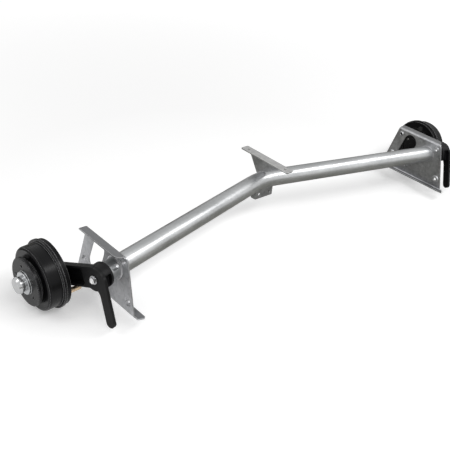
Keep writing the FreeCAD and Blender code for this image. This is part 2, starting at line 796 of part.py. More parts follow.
def make_expander_bracket():
    # An upright sheet on the backplate that carries the expander pin
    outer_x = expander_place - expander_depth / 2 - seat_gap
    width = 2 * expander_half_width
    foot_end = outer_x - bracket_sheet
    upright = Part.makeBox(bracket_sheet, width, shoe_centre + 2 * expander_pin_radius - backplate_foot(),
                           Vec(foot_end, -width / 2, backplate_foot()))
    pin_hole = Part.makeCylinder(expander_pin_radius, 3 * bracket_sheet,
                                 Vec(foot_end - bracket_sheet, 0, shoe_centre), X_AXIS)
    return upright.cut(pin_hole)


def backplate_foot():
    # Height of the pressed ring's inner face, which the brackets stand on
    return backplate_sheet + backplate_ring_depth


def make_expander_pin():
    start = expander_place - expander_depth / 2 - seat_gap - bracket_sheet
    end = expander_place + expander_depth / 2 + expander_pin_overhang
    return Part.makeCylinder(expander_pin_radius, end - start, Vec(start, 0, shoe_centre), X_AXIS)


def make_expander_lever():
    half = shoe_end_half - running_gap
    block = Part.makeBox(expander_depth, 2 * half, 2 * expander_half_width,
                         Vec(expander_place - expander_depth / 2, -half, shoe_centre - expander_half_width))
    hook_angle = math.radians(cable_gland_angle - brake_axis_angle)
    hook_x = gland_place_radius * math.cos(hook_angle)
    hook_y = gland_place_radius * math.sin(hook_angle)
    top = shoe_centre - expander_half_width
    start_x = expander_place - expander_depth / 2
    arm = Part.makeBox(hook_x + cable_gland_bore - start_x, hook_y + cable_gland_bore, lever_arm_thickness,
                       Vec(start_x, 0, top - lever_arm_thickness))
    slot = disc(cable_gland_bore / 2, top - 2 * lever_arm_thickness, top, hook_x, hook_y)
    pin_hole = Part.makeCylinder(expander_pin_radius + slide_gap, 3 * expander_depth,
                                 Vec(expander_place - expander_depth, 0, shoe_centre), X_AXIS)
    return block.fuse(arm).cut(slot).cut(pin_hole)


def make_adjuster():
    half = shoe_end_half - seat_gap
    low = shoe_centre - adjuster_width / 2
    block = Part.makeBox(adjuster_depth, 2 * half, adjuster_width,
                         Vec(adjuster_place - adjuster_depth / 2, -half, low))
    foot = disc(adjuster_depth / 2, backplate_foot(), low, adjuster_place)
    return block.fuse(foot)


def spring_hook_place():
    return spring_half_length - 2 * spring_hook_radius


def make_return_spring():
    # Close-wound spring body whose hooked ends drop through the shoe webs
    place = Vec(spring_place, -spring_half_length, spring_height)
    spring = Part.makeCylinder(spring_radius, 2 * spring_half_length, place, Y_AXIS)
    hook_end = shoe_centre - shoe_web_thickness / 2 - spring_hook_radius
    hooks = [disc(spring_hook_radius, hook_end, spring_height, spring_place, side * spring_hook_place())
             for side in (-1, 1)]
    return spring.fuse(hooks)


def both_sides(name, shape, parts):
    parts[name + "_left"] = shape
    parts[name + "_right"] = shape.mirror(ZERO, X_AXIS)


def make_parts():
    parts = {"axle_tube": make_axle_tube(),
             "centre_flange": make_centre_flange(),
             "centre_gusset": make_centre_gusset(),
             "cable_bracket": make_cable_bracket()}
    both_sides("side_plate", make_side_plate(), parts)
    both_sides("rubber_cords", placed(make_rubber_cords(), pivot_frame), parts)
    both_sides("torsion_core", placed(make_torsion_core(), pivot_frame), parts)
    on_arm = {"swing_arm": make_swing_arm(),
              "arm_bolt": make_arm_bolt(), "arm_washer": make_arm_washer()}
    for name, shape in on_arm.items():
        both_sides(name, placed(shape, arm_frame), parts)
    on_wheel = {"stub_axle": make_stub_axle(), "hub_nut": make_hub_nut(),
                "bearing_outer": make_bearing_outer(), "bearing_inner": make_bearing_inner(),
                "bearing_balls": make_bearing_balls(), "bearing_circlip": make_circlip(),
                "backplate": make_backplate(), "backplate_plugs": make_backplate_plugs(),
                "backplate_screws": make_backplate_screws(), "cable_gland": make_cable_gland(),
                "brake_drum": make_brake_drum(), "grease_cap": make_grease_cap()}
    for name, shape in on_wheel.items():
        both_sides(name, placed(shape, wheel_frame), parts)
    upper_shoe = make_brake_shoe()
    lower_shoe = upper_shoe.mirror(ZERO, Y_AXIS)
    on_brake = {"upper_shoe": upper_shoe, "lower_shoe": lower_shoe,
                "expander_bracket": make_expander_bracket(), "expander_pin": make_expander_pin(),
                "expander_lever": make_expander_lever(), "adjuster": make_adjuster(),
                "shoe_spring": make_return_spring()}
    for name, shape in on_brake.items():
        both_sides(name, placed(shape, brake_frame), parts)
    return parts


def main():
    os.makedirs("parts", exist_ok=True)
    for name, shape in make_parts().items():
        shape.translate(Vec(0, -flange_middle, -flange_top))
        shape.exportStep("parts/" + name + ".step")
        print(name, len(shape.Solids), round(shape.Volume), shape.isValid())


main()
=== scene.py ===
import bmesh
import bpy
import json
import math
from mathutils import Matrix, Vector


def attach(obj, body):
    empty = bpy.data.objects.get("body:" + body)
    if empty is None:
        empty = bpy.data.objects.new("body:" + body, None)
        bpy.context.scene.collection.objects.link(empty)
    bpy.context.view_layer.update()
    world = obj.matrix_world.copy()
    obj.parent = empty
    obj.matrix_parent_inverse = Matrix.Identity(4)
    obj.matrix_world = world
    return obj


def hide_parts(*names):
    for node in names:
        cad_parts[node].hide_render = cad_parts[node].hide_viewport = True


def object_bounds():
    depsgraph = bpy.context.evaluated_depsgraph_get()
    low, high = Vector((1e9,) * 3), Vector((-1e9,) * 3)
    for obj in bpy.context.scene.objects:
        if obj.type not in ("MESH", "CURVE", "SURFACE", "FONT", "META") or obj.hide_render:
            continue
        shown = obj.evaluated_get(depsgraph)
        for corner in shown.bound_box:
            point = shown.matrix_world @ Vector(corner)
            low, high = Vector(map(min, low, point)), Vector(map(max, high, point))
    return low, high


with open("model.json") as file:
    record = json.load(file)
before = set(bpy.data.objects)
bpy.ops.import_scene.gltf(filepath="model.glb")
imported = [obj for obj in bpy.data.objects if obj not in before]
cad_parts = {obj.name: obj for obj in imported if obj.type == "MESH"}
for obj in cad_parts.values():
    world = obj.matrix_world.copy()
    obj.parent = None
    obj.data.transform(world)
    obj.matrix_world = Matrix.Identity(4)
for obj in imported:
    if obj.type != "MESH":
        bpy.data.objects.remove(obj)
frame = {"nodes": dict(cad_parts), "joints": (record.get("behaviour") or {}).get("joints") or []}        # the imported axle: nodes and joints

# Trailer axle in metres: X along the axle, +Y rearward, +Z up
cadLow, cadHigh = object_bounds()
sides = ("left", "right")

# Places that the CAD model fixes, for the left half
layout = {
    "hubJointHeight": 0.060,      # the wheel joint's place, outboard of the backplate's inner face
    "hubFace": 0.098,
    "spigotRadius": 0.039,
    "tubeRadius": 0.035,
    "tubeSweep": math.atan2(0.206, 0.850),     # how far each half of the tube points forward
}


def jointPlace(name):
    found = [joint for joint in frame["joints"] if joint["name"] == name][0]
    return Vector(found["pos_m"]), Vector(found["axis"])


def axesMatrix(x, y, z, place):
    turned = Matrix((x, y, z)).transposed().to_4x4()
    return Matrix.Translation(place) @ turned


pivot, pivotAxis = jointPlace("left_arm_swing")
outboard = pivotAxis * (-1 if pivotAxis.x > 0 else 1)
hubPlace, hubAxis = jointPlace("left_hub_spin")
hubAxis = hubAxis * (-1 if hubAxis.x > 0 else 1)
armUp = hubAxis.cross(outboard).normalized()
wheelFrame = axesMatrix(armUp.cross(hubAxis), armUp, hubAxis,
                        hubPlace - hubAxis * layout["hubJointHeight"])
barrelFrame = axesMatrix(armUp.cross(outboard), armUp, outboard, pivot)
print("layout: wheel centre", [round(v, 4) for v in wheelFrame.translation])


# Small mesh helpers

def newPiece(name, mesh, material, body, smoothAngle=35):
    piece = bpy.data.objects.new(name, mesh)
    bpy.context.scene.collection.objects.link(piece)
    mesh.materials.clear()
    mesh.materials.append(material)
    for face in mesh.polygons:
        face.use_smooth = True
    mesh.set_sharp_from_angle(angle=math.radians(smoothAngle))
    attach(piece, body)
    return piece


def meshFrom(bm, name):
    bmesh.ops.remove_doubles(bm, verts=bm.verts, dist=1e-6)
    bmesh.ops.recalc_face_normals(bm, faces=bm.faces)
    mesh = bpy.data.meshes.new(name)
    bm.to_mesh(mesh)
    bm.free()
    return mesh


def onBothSides(name, build, place, material, body, replaced=None, smoothAngle=35):
    # The left piece, and its mirror image on the right
    for side in sides:
        bm = build()
        bm.transform(place)
        if side == "right":
            bmesh.ops.scale(bm, vec=(-1, 1, 1), verts=bm.verts)
        mesh = meshFrom(bm, name + "_" + side)
        owner = body if body == "axle" else side + "_" + body
        piece = newPiece(name + "_" + side, mesh, material, owner, smoothAngle)
        if replaced:
            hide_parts(replaced + "_" + side)


def spun(profile, steps, closed=False, centre=(0, 0, 0)):
    # A chain of (radius, height) points spun about Z
    bm = bmesh.new()
    chain = [bm.verts.new((radius, 0, height)) for radius, height in profile]
    for first, second in zip(chain, chain[1:]):
        bm.edges.new((first, second))
    if closed:
        bm.edges.new((chain[-1], chain[0]))
    bmesh.ops.spin(bm, geom=bm.verts[:] + bm.edges[:], cent=(0, 0, 0), axis=(0, 0, 1), angle=math.tau,
                   steps=steps, use_merge=True)
    bmesh.ops.remove_doubles(bm, verts=bm.verts, dist=1e-6)
    bmesh.ops.translate(bm, vec=centre, verts=bm.verts)
    return bm


def joined(parts):
    # Several loose bmeshes as one
    whole = bmesh.new()
    for part in parts:
        mesh = bpy.data.meshes.new("part")
        part.to_mesh(mesh)
        part.free()
        whole.from_mesh(mesh)
        bpy.data.meshes.remove(mesh)
    return whole


# Shader groups

def newGroup(name, inputs, outputs):
    group = bpy.data.node_groups.new(name, "ShaderNodeTree")
    for label, kind, value in inputs:
        socket = group.interface.new_socket(label, in_out="INPUT", socket_type=kind)
        if value is not None:
            socket.default_value = value
    for label, kind in outputs:
        group.interface.new_socket(label, in_out="OUTPUT", socket_type=kind)
    return group, group.nodes.new("NodeGroupInput"), group.nodes.new("NodeGroupOutput")


def addNode(tree, kind, links=None, **settings):
    node = tree.nodes.new(kind)
    for key, value in settings.items():
        setattr(node, key, value)
    for key, value in (links or {}).items():
        if isinstance(value, bpy.types.NodeSocket):
            tree.links.new(value, node.inputs[key])
        else:
            node.inputs[key].default_value = value
    return node


def mathNode(tree, operation, a, b=0.0, clamp=False):
    return addNode(tree, "ShaderNodeMath", {0: a, 1: b}, operation=operation, use_clamp=clamp).outputs[0]


def rangeNode(tree, value, low, high, outLow, outHigh):
    return addNode(tree, "ShaderNodeMapRange", {"Value": value, "From Min": low, "From Max": high,
                                                "To Min": outLow, "To Max": outHigh}).outputs[0]


def radiusNode(tree, split):
    # Distance from the Z axis
    squares = mathNode(tree, "ADD", mathNode(tree, "MULTIPLY", split.outputs[0], split.outputs[0]),
                       mathNode(tree, "MULTIPLY", split.outputs[1], split.outputs[1]))
    return mathNode(tree, "SQRT", squares)


def makeMottleGroup():
    # Slow and fine unevenness of a painted or coated surface
    group, given, out = newGroup("mottle",
                                 [("Vector", "NodeSocketVector", None), ("Scale", "NodeSocketFloat", 8.0),
                                  ("Fine Scale", "NodeSocketFloat", 120.0)],
                                 [("Slow", "NodeSocketFloat"), ("Fine", "NodeSocketFloat"),
                                  ("Height", "NodeSocketFloat")])
    slow = addNode(group, "ShaderNodeTexNoise", {"Vector": given.outputs["Vector"],
                                                 "Scale": given.outputs["Scale"], "Detail": 4.0,
                                                 "Roughness": 0.55})
    fine = addNode(group, "ShaderNodeTexNoise", {"Vector": given.outputs["Vector"],
                                                 "Scale": given.outputs["Fine Scale"], "Detail": 3.0,
                                                 "Roughness": 0.6})
    height = mathNode(group, "MULTIPLY_ADD", slow.outputs[0], 0.35)
    group.links.new(fine.outputs[0], height.node.inputs[2])
    group.links.new(slow.outputs[0], out.inputs["Slow"])
    group.links.new(fine.outputs[0], out.inputs["Fine"])
    group.links.new(height, out.inputs["Height"])
    return group


def makeSpangleGroup():
    # Zinc crystals of a galvanised surface: each cell has a shade of its own
    group, given, out = newGroup("zincSpangle", [("Vector", "NodeSocketVector", None),
                                                 ("Scale", "NodeSocketFloat", 90.0),
                                                 ("Warp", "NodeSocketFloat", 0.01)],
                                 [("Shade", "NodeSocketFloat"), ("Height", "NodeSocketFloat")])
    noise = addNode(group, "ShaderNodeTexNoise", {"Vector": given.outputs["Vector"], "Scale": 30.0,
                                                  "Detail": 2.0})
    offset = addNode(group, "ShaderNodeVectorMath", {0: noise.outputs["Color"], 1: (0.5, 0.5, 0.5)},
                     operation="SUBTRACT")
    warped = addNode(group, "ShaderNodeVectorMath", {0: offset.outputs[0], "Scale": given.outputs["Warp"]},
                     operation="SCALE")
    moved = addNode(group, "ShaderNodeVectorMath", {0: given.outputs["Vector"], 1: warped.outputs[0]})
    cells = addNode(group, "ShaderNodeTexVoronoi", {"Vector": moved.outputs[0],
                                                    "Scale": given.outputs["Scale"], "Randomness": 1.0})
    shade = addNode(group, "ShaderNodeSeparateColor", {"Color": cells.outputs["Color"]})
    group.links.new(shade.outputs[0], out.inputs["Shade"])
    group.links.new(cells.outputs["Distance"], out.inputs["Height"])
    return group


edgeMask = {"from": 0.98, "to": 0.80, "samples": 6}


def makeEdgeGroup():
    # Rounded edges, and a mask of how near an edge is
    group, given, out = newGroup("roundedEdge", [("Radius", "NodeSocketFloat", 0.001)],
                                 [("Normal", "NodeSocketVector"), ("Edge", "NodeSocketFloat")])
    rounded = addNode(group, "ShaderNodeBevel", {"Radius": given.outputs["Radius"]},
                      samples=edgeMask["samples"])
    surface = addNode(group, "ShaderNodeNewGeometry")
    together = addNode(group, "ShaderNodeVectorMath", {0: rounded.outputs[0], 1: surface.outputs["Normal"]},
                       operation="DOT_PRODUCT")
    edge = rangeNode(group, together.outputs["Value"], edgeMask["from"], edgeMask["to"], 0.0, 1.0)
    group.links.new(rounded.outputs[0], out.inputs["Normal"])
    group.links.new(edge, out.inputs["Edge"])
    return group


def makeRingGroup():
    # Fine turning marks round an axis along Z
    group, given, out = newGroup("turnedRings", [("Vector", "NodeSocketVector", None),
                                                 ("Scale", "NodeSocketFloat", 900.0)],
                                 [("Height", "NodeSocketFloat")])
    split = addNode(group, "ShaderNodeSeparateXYZ", {0: given.outputs["Vector"]})
    along = mathNode(group, "ADD", radiusNode(group, split), split.outputs[2])
    marks = addNode(group, "ShaderNodeTexNoise", {"W": along, "Scale": given.outputs["Scale"], "Detail": 2.0},
                    noise_dimensions="1D")
    group.links.new(marks.outputs[0], out.inputs["Height"])
    return group


groups = {"mottle": makeMottleGroup(), "spangle": makeSpangleGroup(), "edge": makeEdgeGroup(),
          "rings": makeRingGroup()}


def useGroup(tree, name, links):
    return addNode(tree, "ShaderNodeGroup", links, node_tree=groups[name])


def startMaterial(name):
    material = bpy.data.materials.new(name)
    material.use_nodes = True
    tree = material.node_tree
    shader = tree.nodes["Principled BSDF"]
    place = addNode(tree, "ShaderNodeTexCoord")
    return material, tree, shader, place.outputs["Object"]


def mixedColour(tree, factor, base, other):
    # Between two colours, of which the first may come from a node
    mix = tree.nodes.new("ShaderNodeMix")
    mix.data_type = "RGBA"
    tree.links.new(factor, mix.inputs["Factor"])
    if isinstance(base, bpy.types.NodeSocket):
        tree.links.new(base, mix.inputs["A"])
    else:
        mix.inputs["A"].default_value = (*base, 1)
    mix.inputs["B"].default_value = (*other, 1)
    return mix.outputs["Result"]


def bumpNode(tree, height, strength, distance, normal):
    return addNode(tree, "ShaderNodeBump", {"Height": height, "Strength": strength, "Distance": distance,
                                            "Normal": normal}).outputs[0]


# What all zinc has in common: a painted shade darkens the faces that look up, and the cut edges are bare
zincCoat = {
    "warp": 0.012, "fineScale": 260.0, "shadeFrom": 0.36, "shadeTo": 0.66,
    "topShadeFrom": 0.82, "topShadeLevel": 0.42, "cutColour": (0.74, 0.745, 0.75),
    "bump": 0.15, "bumpDepth": 0.0002,
}


def makeZinc(name, finish):
    # Hot-dip zinc: metallic, with crystal cells, cloudy streaks, rounded edges and a painted shade on the
    # faces that look up
    material, tree, shader, coords = startMaterial(name)
    place = addNode(tree, "ShaderNodeMapping", {"Vector": coords,
                                                "Scale": (finish["stretch"], 1, 1)}).outputs[0]
    edge = useGroup(tree, "edge", {"Radius": finish["edgeRadius"]})
    cells = useGroup(tree, "spangle", {"Vector": coords, "Scale": finish["cellScale"],
                                      "Warp": zincCoat["warp"]})
    cloud = useGroup(tree, "mottle", {"Vector": place, "Scale": finish["cloudScale"],
                                      "Fine Scale": zincCoat["fineScale"]})
    blend = mathNode(tree, "MULTIPLY_ADD", cells.outputs["Shade"], finish["cellShare"])
    tree.links.new(cloud.outputs["Slow"], blend.node.inputs[2])
    shade = rangeNode(tree, blend, zincCoat["shadeFrom"], zincCoat["shadeTo"] + finish["cellShare"], 0.0, 1.0)
    surface = addNode(tree, "ShaderNodeNewGeometry")
    upward = addNode(tree, "ShaderNodeSeparateXYZ", {0: surface.outputs["Normal"]}).outputs[2]
    # Painted shade: faces that look up are mixed towards a darker zinc colour
    topShade = mathNode(tree, "MULTIPLY", rangeNode(tree, upward, zincCoat["topShadeFrom"], 1.0, 0.0, 1.0),
                    finish["topShade"])
    zinc = mixedColour(tree, shade, finish["dark"], finish["light"])
    zinc = mixedColour(tree, topShade, zinc, [zincCoat["topShadeLevel"] * value for value in finish["dark"]])
    zinc = mixedColour(tree, mathNode(tree, "MULTIPLY", edge.outputs["Edge"], finish["cutEdge"]), zinc,
                       zincCoat["cutColour"])
    tree.links.new(zinc, shader.inputs["Base Color"])
    tree.links.new(rangeNode(tree, shade, 0.0, 1.0, *finish["rough"]), shader.inputs["Roughness"])
    shader.inputs["Metallic"].default_value = finish["metallic"]
    tree.links.new(bumpNode(tree, cloud.outputs["Height"], zincCoat["bump"], zincCoat["bumpDepth"],
                            edge.outputs["Normal"]), shader.inputs["Normal"])
    return material


# What all black paint has in common: how the grain spreads the pale edges, part wear and part painted
# highlight, and the gloss
paintCoat = {
    "paleEdgeFrom": 0.35, "paleEdgeTo": 0.75, "leastPaleEdge": 0.2, "grainFrom": 0.3, "grainTo": 0.7, "bumpDepth": 0.0004,
}


def makePaint(name, finish):
    # Black paint on a casting or pressing: fine grain, paler along the edges, part wear and part painted
    # highlight
    material, tree, shader, place = startMaterial(name)
    edge = useGroup(tree, "edge", {"Radius": finish["edgeRadius"]})
    grain = useGroup(tree, "mottle", {"Vector": place, "Scale": finish["cloudScale"],
                                      "Fine Scale": finish["grainScale"]})
    # Pale edges: part wear, part a painted highlight along the rims
    paleEdge = mathNode(tree, "MULTIPLY", edge.outputs["Edge"],
                    rangeNode(tree, grain.outputs["Fine"], paintCoat["paleEdgeFrom"], paintCoat["paleEdgeTo"],
                              paintCoat["leastPaleEdge"], finish["wearAndHighlight"]), clamp=True)
    paint = mixedColour(tree, grain.outputs["Slow"], finish["dark"], finish["light"])
    tree.links.new(mixedColour(tree, paleEdge, paint, finish["edge"]), shader.inputs["Base Color"])
    shader.inputs["Specular IOR Level"].default_value = finish["specular"]
    tree.links.new(rangeNode(tree, grain.outputs["Fine"], paintCoat["grainFrom"], paintCoat["grainTo"],
                             *finish["rough"]), shader.inputs["Roughness"])
    tree.links.new(bumpNode(tree, grain.outputs["Height"], finish["bump"], paintCoat["bumpDepth"],
                            edge.outputs["Normal"]), shader.inputs["Normal"])
    return material


# Turned pieces: how turning marks and clouds share the shade, and how far round the boss paint is left off
turnedCoat = {
    "ringShare": 0.5, "cloudShare": 0.5, "shadeFrom": 0.3, "shadeTo": 0.7, "fineScale": 300.0,
    "bumpDepth": 0.0002, "bossMargin": 0.0012, "faceMargin": 0.0006,
}


def bareBoss(tree, place):
    # 1 on the hub's boss, which stays bare of paint
    split = addNode(tree, "ShaderNodeSeparateXYZ", {0: place})
    inside = mathNode(tree, "LESS_THAN", radiusNode(tree, split),
                      layout["spigotRadius"] + turnedCoat["bossMargin"])
    above = mathNode(tree, "GREATER_THAN", split.outputs[2], layout["hubFace"] - turnedCoat["faceMargin"])
    return mathNode(tree, "MULTIPLY", inside, above)


def makeTurned(name, finish, matrix):
    # Turned metal or painted turned metal, with marks round the axis of the matrix
    material, tree, shader, place = startMaterial(name)
    inverse = matrix.inverted()
    mapping = addNode(tree, "ShaderNodeMapping", {"Vector": place, "Location": inverse.translation,
                                                  "Rotation": inverse.to_euler()})
    edge = useGroup(tree, "edge", {"Radius": finish["edgeRadius"]})
    rings = useGroup(tree, "rings", {"Vector": mapping.outputs[0], "Scale": finish["ringScale"]})
    cloud = useGroup(tree, "mottle", {"Vector": place, "Scale": finish["cloudScale"],
                                      "Fine Scale": turnedCoat["fineScale"]})
    shade = mathNode(tree, "MULTIPLY_ADD", rings.outputs["Height"], turnedCoat["ringShare"])
    tree.links.new(mathNode(tree, "MULTIPLY", cloud.outputs["Slow"], turnedCoat["cloudShare"]),
                   shade.node.inputs[2])
    base = mixedColour(tree, shade, finish["dark"], finish["light"])
    # Paler edges: a painted highlight along the rims and lips, with some wear
    colour = mixedColour(tree, mathNode(tree, "MULTIPLY", edge.outputs["Edge"], finish["wearAndHighlight"]), base,
                         finish["edge"])
    rough = rangeNode(tree, shade, turnedCoat["shadeFrom"], turnedCoat["shadeTo"], *finish["rough"])
    shader.inputs["Metallic"].default_value = finish["metallic"]
    if "bare" in finish:
        bare = bareBoss(tree, mapping.outputs[0])
        colour = mixedColour(tree, bare, colour, finish["bare"])
        rough = mathNode(tree, "SUBTRACT", rough, mathNode(tree, "MULTIPLY", bare, finish["bareGloss"]))
        tree.links.new(bare, shader.inputs["Metallic"])
    tree.links.new(colour, shader.inputs["Base Color"])
    tree.links.new(rough, shader.inputs["Roughness"])
    shader.inputs["Specular IOR Level"].default_value = finish["specular"]
    tree.links.new(bumpNode(tree, rings.outputs["Height"], finish["bump"], turnedCoat["bumpDepth"],
                            edge.outputs["Normal"]), shader.inputs["Normal"])
    return material


# Each finish sets how strongly its upward faces get the painted shade
zincFinish = {
    "galvanisedTube": {"dark": (0.44, 0.45, 0.455), "light": (0.66, 0.67, 0.675), "rough": (0.30, 0.42),
                       "cellScale": 120.0, "cellShare": 0.10, "cloudScale": 16.0, "stretch": 0.14,
                       "metallic": 0.92, "topShade": 0.55, "cutEdge": 0.2, "edgeRadius": 0.0012},
    "galvanisedSheet": {"dark": (0.31, 0.315, 0.325), "light": (0.52, 0.525, 0.54), "rough": (0.30, 0.44),
                        "cellScale": 105.0, "cellShare": 0.35, "cloudScale": 16.0, "stretch": 1.0,
                        "metallic": 0.90, "topShade": 0.85, "cutEdge": 0.75, "edgeRadius": 0.0018},
    "paleFlange": {"dark": (0.42, 0.42, 0.42), "light": (0.62, 0.62, 0.61), "rough": (0.34, 0.46),
                   "cellScale": 105.0, "cellShare": 0.35, "cloudScale": 30.0, "stretch": 1.0,
                   "metallic": 0.90, "topShade": 0.30, "cutEdge": 0.75, "edgeRadius": 0.0018},
    "brightZinc": {"dark": (0.62, 0.62, 0.63), "light": (0.82, 0.82, 0.82), "rough": (0.16, 0.26),
                   "cellScale": 300.0, "cellShare": 0.10, "cloudScale": 30.0, "stretch": 1.0,
                   "metallic": 1.0, "topShade": 0.2, "cutEdge": 0.3, "edgeRadius": 0.0008},
    "yellowZinc": {"dark": (0.46, 0.32, 0.20), "light": (0.76, 0.60, 0.42), "rough": (0.20, 0.32),
                   "cellScale": 300.0, "cellShare": 0.10, "cloudScale": 40.0, "stretch": 1.0,
                   "metallic": 1.0, "topShade": 0.2, "cutEdge": 0.0, "edgeRadius": 0.0006},
    # The washer's zinc is a darker copy of the bolt's: painted shade for the dark surroundings it reflects
    "shadedWasherZinc": {"dark": (0.24, 0.24, 0.25), "light": (0.46, 0.46, 0.47), "rough": (0.22, 0.34),
                 "cellScale": 300.0, "cellShare": 0.10, "cloudScale": 60.0, "stretch": 1.0,
                 "metallic": 1.0, "topShade": 0.2, "cutEdge": 0.5, "edgeRadius": 0.0008},
    "plainSteel": {"dark": (0.30, 0.30, 0.31), "light": (0.46, 0.46, 0.47), "rough": (0.32, 0.48),
                   "cellScale": 400.0, "cellShare": 0.10, "cloudScale": 25.0, "stretch": 1.0,
                   "metallic": 1.0, "topShade": 0.2, "cutEdge": 0.2, "edgeRadius": 0.0006},
    "bearingSteel": {"dark": (0.50, 0.50, 0.52), "light": (0.64, 0.64, 0.66), "rough": (0.15, 0.25),
                     "cellScale": 400.0, "cellShare": 0.05, "cloudScale": 25.0, "stretch": 1.0,
                     "metallic": 1.0, "topShade": 0.1, "cutEdge": 0.2, "edgeRadius": 0.0005},
    "weldMetal": {"dark": (0.28, 0.28, 0.29), "light": (0.52, 0.52, 0.53), "rough": (0.36, 0.52),
                  "cellScale": 600.0, "cellShare": 0.4, "cloudScale": 60.0, "stretch": 1.0,
                  "metallic": 0.95, "topShade": 0.3, "cutEdge": 0.0, "edgeRadius": 0.0006},
}
paintFinish = {
    "blackCasting": {"dark": (0.003, 0.003, 0.0035), "light": (0.008, 0.008, 0.0085),
                     "edge": (0.05, 0.05, 0.052), "rough": (0.36, 0.52), "cloudScale": 18.0,
                     "grainScale": 420.0, "wearAndHighlight": 0.6, "bump": 0.45, "edgeRadius": 0.0030, "specular": 0.16},
    # The backplate's pale edge colour is a painted highlight along its rims, with some wear
    "blackSheet": {"dark": (0.002, 0.002, 0.0025), "light": (0.005, 0.005, 0.0055),
                   "edge": (0.45, 0.45, 0.45), "rough": (0.30, 0.42), "cloudScale": 22.0,
                   "grainScale": 500.0, "wearAndHighlight": 0.9, "bump": 0.15, "edgeRadius": 0.0030, "specular": 0.10},
    "brakeShoe": {"dark": (0.05, 0.042, 0.035), "light": (0.10, 0.085, 0.07),
                  "edge": (0.16, 0.14, 0.12), "rough": (0.55, 0.75), "cloudScale": 30.0,
                  "grainScale": 600.0, "wearAndHighlight": 0.5, "bump": 0.5, "edgeRadius": 0.0006, "specular": 0.3},
    "blackRubber": {"dark": (0.012, 0.012, 0.012), "light": (0.022, 0.022, 0.022),
                    "edge": (0.04, 0.04, 0.04), "rough": (0.60, 0.78), "cloudScale": 40.0,
                    "grainScale": 700.0, "wearAndHighlight": 0.3, "bump": 0.2, "edgeRadius": 0.0008, "specular": 0.3},
}
# The drum's pale edge colour is a painted highlight along its lips, with some wear; the bare boss is its own
# colour
drumFinish = {"dark": (0.002, 0.002, 0.0025), "light": (0.005, 0.005, 0.0055), "edge": (0.45, 0.45, 0.46),
              "rough": (0.24, 0.34), "ringScale": 900.0, "cloudScale": 14.0, "metallic": 0.0, "wearAndHighlight": 0.8,
              "bump": 0.10, "edgeRadius": 0.0030, "specular": 0.15,
              "bare": (0.46, 0.47, 0.48), "bareGloss": 0.10}
capFinish = {"dark": (0.36, 0.365, 0.37), "light": (0.60, 0.605, 0.61), "edge": (0.90, 0.90, 0.90),
             "rough": (0.12, 0.22), "ringScale": 1400.0, "cloudScale": 20.0, "metallic": 1.0, "wearAndHighlight": 0.3,
             "bump": 0.06, "edgeRadius": 0.0010, "specular": 0.5}

materials = {name: makeZinc(name, finish) for name, finish in zincFinish.items()}
materials.update({name: makePaint(name, finish) for name, finish in paintFinish.items()})
mirrorX = Matrix.Diagonal((-1, 1, 1, 1))
wheelFrames = {"left": wheelFrame, "right": mirrorX @ wheelFrame @ mirrorX}
for key, finish in (("blackDrum", drumFinish), ("turnedZinc", capFinish)):
    materials[key] = {side: makeTurned(key + side.capitalize(), finish, wheelFrames[side]) for side in sides}
print("materials:", len(materials))

# What each kind of node wears
nodeFinish = {
    "axle_tube": "galvanisedTube", "side_plate": "galvanisedSheet", "centre_flange": "paleFlange",
    "centre_gusset": "galvanisedSheet", "cable_bracket": "galvanisedSheet", "rubber_cords": "blackRubber",
    "swing_arm": "blackCasting", "torsion_core": "plainSteel", "arm_bolt": "brightZinc",
    "arm_washer": "shadedWasherZinc", "stub_axle": "blackCasting", "hub_nut": "brightZinc",
    "bearing_inner": "bearingSteel", "bearing_outer": "bearingSteel", "bearing_balls": "bearingSteel",
    "bearing_circlip": "bearingSteel", "backplate": "blackSheet", "backplate_plugs": "blackRubber",
    "backplate_screws": "brightZinc", "cable_gland": "yellowZinc", "expander_bracket": "plainSteel",
    "expander_pin": "plainSteel", "expander_lever": "plainSteel", "adjuster": "plainSteel",
    "shoe_spring": "bearingSteel", "upper_shoe": "brakeShoe", "lower_shoe": "brakeShoe",
    "brake_drum": "blackDrum", "grease_cap": "turnedZinc",
}
for node, piece in frame["nodes"].items():
    side = node.rsplit("_", 1)[-1]
    kind = node.rsplit("_", 1)[0] if side in sides else node
    chosen = materials[nodeFinish[kind]]
    piece.material_slots[0].material = chosen[side] if isinstance(chosen, dict) else chosen
print("nodes dressed:", len(frame["nodes"]))


# Arm bolt: a chamfered hexagon head with a dished end, on its shank
armBolt = {
    "flats": 0.019, "headStart": 0.105, "headEnd": 0.113, "chamfer": 0.0012,
    "dishMargin": 0.0022, "dishDepth": 0.0007, "shankRadius": 0.006, "shankStart": 0.058,
}


def buildArmBolt():
    bm = bmesh.new()
    corner = armBolt["flats"] / 2 / math.cos(math.radians(30))
    bmesh.ops.create_circle(bm, cap_ends=True, segments=6, radius=corner)
    bmesh.ops.translate(bm, vec=(0, 0, armBolt["headStart"]), verts=bm.verts)
    raised = bmesh.ops.extrude_face_region(bm, geom=bm.faces[:])["geom"]
    top = [item for item in raised if isinstance(item, bmesh.types.BMFace)][0]
    bmesh.ops.translate(bm, vec=(0, 0, armBolt["headEnd"] - armBolt["headStart"]), verts=top.verts)
    bmesh.ops.bevel(bm, geom=top.edges[:], offset=armBolt["chamfer"], affect="EDGES", segments=2, profile=0.5,
                    material=-1)
    top = max(bm.faces, key=lambda face: face.calc_center_median().z)
    bmesh.ops.inset_region(bm, faces=[top], thickness=armBolt["dishMargin"], depth=0.0)
    bmesh.ops.inset_region(bm, faces=[top], thickness=armBolt["dishDepth"], depth=-armBolt["dishDepth"])
    shank = spun([(0, armBolt["shankStart"]), (armBolt["shankRadius"], armBolt["shankStart"]),
                  (armBolt["shankRadius"], armBolt["headStart"]), (0, armBolt["headStart"])], 24)
    return joined([bm, shank])


